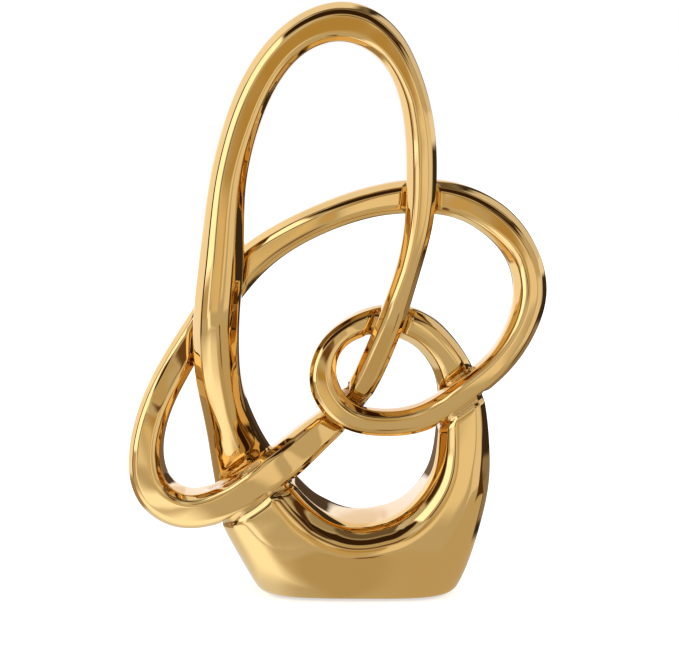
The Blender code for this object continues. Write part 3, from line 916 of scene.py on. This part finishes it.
def makeTent():
    azimuth, elevation = np.meshgrid(np.arange(-180.0, 181.0), np.arange(-90.0, 91.0))
    rows, columns = azimuth.shape
    azimuth, elevation = azimuth.ravel(), elevation.ravel()
    a, e = np.radians(azimuth), np.radians(elevation)
    way = np.stack([np.sin(a) * np.cos(e), -np.cos(a) * np.cos(e), np.sin(e)], axis=1)
    drop = studio["middle"][2] - studio["lift"]
    reach = np.minimum(studio["radius"], drop / np.maximum(-way[:, 2], 1e-6))
    vertices = np.array(studio["middle"]) + way * reach[:, None]
    corners = [i * columns + j for i in range(rows - 1) for j in range(columns - 1)]
    faces = [(k, k + 1, k + 1 + columns, k + columns) for k in corners]
    data = bpy.data.meshes.new("studio_tent")
    data.from_pydata(vertices.tolist(), [], faces)
    glow = data.attributes.new("glow", "FLOAT_COLOR", "POINT")
    paint = np.ones((len(vertices), 4))
    paint[:, :3] = paintTent(azimuth, elevation)
    glow.data.foreach_set("color", paint.ravel())
    tent = bpy.data.objects.new("studio_tent", data)
    bpy.context.scene.collection.objects.link(tent)
    material = bpy.data.materials.new("lit_tent_cloth")
    material.use_nodes = True
    tree = material.node_tree
    tree.nodes.clear()
    read = addNode(tree, "ShaderNodeAttribute", {"attribute_name": "glow"})
    light = addNode(tree, "ShaderNodeEmission", Color=read.outputs["Color"], Strength=1.0)
    addNode(tree, "ShaderNodeOutputMaterial", Surface=light.outputs[0])
    data.materials.append(material)
    tent.visible_camera = False
    tent.visible_diffuse = False
    tent.visible_transmission = False
    tent.visible_shadow = False
    tent.visible_volume_scatter = False


makeTent()


background = {
    "seen": 1.0,              # white for the camera, for mirrors and for glass
    "cast": 0.8,              # what lights the table, a little below white
}


def anyRay(tree, *kinds):
    # 1 for the rays of these kinds, 0 for the rest
    paths = addNode(tree, "ShaderNodeLightPath").outputs
    found = paths[kinds[0]]
    for kind in kinds[1:]:
        found = addNode(tree, "ShaderNodeMath", {"operation": "MAXIMUM"}, _0=found,
                        _1=paths[kind]).outputs[0]
    return found


def makeWorld():
    world = bpy.data.worlds.new("white_studio")
    bpy.context.scene.world = world
    world.use_nodes = True
    tree = world.node_tree
    tree.nodes.clear()
    rays = anyRay(tree, "Is Camera Ray", "Is Glossy Ray", "Is Transmission Ray")
    cast = addNode(tree, "ShaderNodeBackground", Color=(1, 1, 1, 1), Strength=background["cast"])
    seen = addNode(tree, "ShaderNodeBackground", Color=(1, 1, 1, 1), Strength=background["seen"])
    mix = addNode(tree, "ShaderNodeMixShader", _0=rays, _1=cast.outputs[0], _2=seen.outputs[0])
    addNode(tree, "ShaderNodeOutputWorld", Surface=mix.outputs[0])


makeWorld()

table = {
    "reach": 4.0,
    "colour": "#F4F4F4",
    "ownLight": 0.62,         # lifts the lit paper to white, and leaves the soft shadow
}


def makeTable():
    reach = table["reach"]
    data = bpy.data.meshes.new("studio_table")
    corners = [(-reach, -reach, 0), (reach, -reach, 0), (reach, reach, 0), (-reach, reach, 0)]
    data.from_pydata(corners, [], [(0, 1, 2, 3)])
    item = bpy.data.objects.new("studio_table", data)
    bpy.context.scene.collection.objects.link(item)
    material = bpy.data.materials.new("white_sweep_paper")
    material.use_nodes = True
    tree = material.node_tree
    tree.nodes.clear()
    paper = addNode(tree, "ShaderNodeBsdfDiffuse", Color=linear(table["colour"]))
    glow = addNode(tree, "ShaderNodeEmission", Color=(1, 1, 1, 1), Strength=table["ownLight"])
    both = addNode(tree, "ShaderNodeAddShader", _0=paper.outputs[0], _1=glow.outputs[0])
    rays = anyRay(tree, "Is Camera Ray", "Is Glossy Ray")
    mix = addNode(tree, "ShaderNodeMixShader", _0=rays, _1=paper.outputs[0], _2=both.outputs[0])
    addNode(tree, "ShaderNodeOutputMaterial", Surface=mix.outputs[0])
    data.materials.append(material)


makeTable()
print("studio lit")

bpy.context.scene.view_settings.view_transform = "Standard"

view = {
    "place": (-0.0003, -0.900, 0.240),
    "target": (-0.0003, 0.0, 0.1294),
    "lens": 100.8,
    "sensor": 36.0,
    "shift": 2.0 / 679.0,
}

cameraData = bpy.data.cameras.new("camera")
cameraData.lens = view["lens"]
cameraData.sensor_width = view["sensor"]
cameraData.shift_x = view["shift"]
camera = bpy.data.objects.new("camera", cameraData)
bpy.context.scene.collection.objects.link(camera)
camera.location = view["place"]
way = Vector(view["target"]) - camera.location
camera.rotation_euler = way.to_track_quat("-Z", "Y").to_euler()
bpy.context.scene.camera = camera
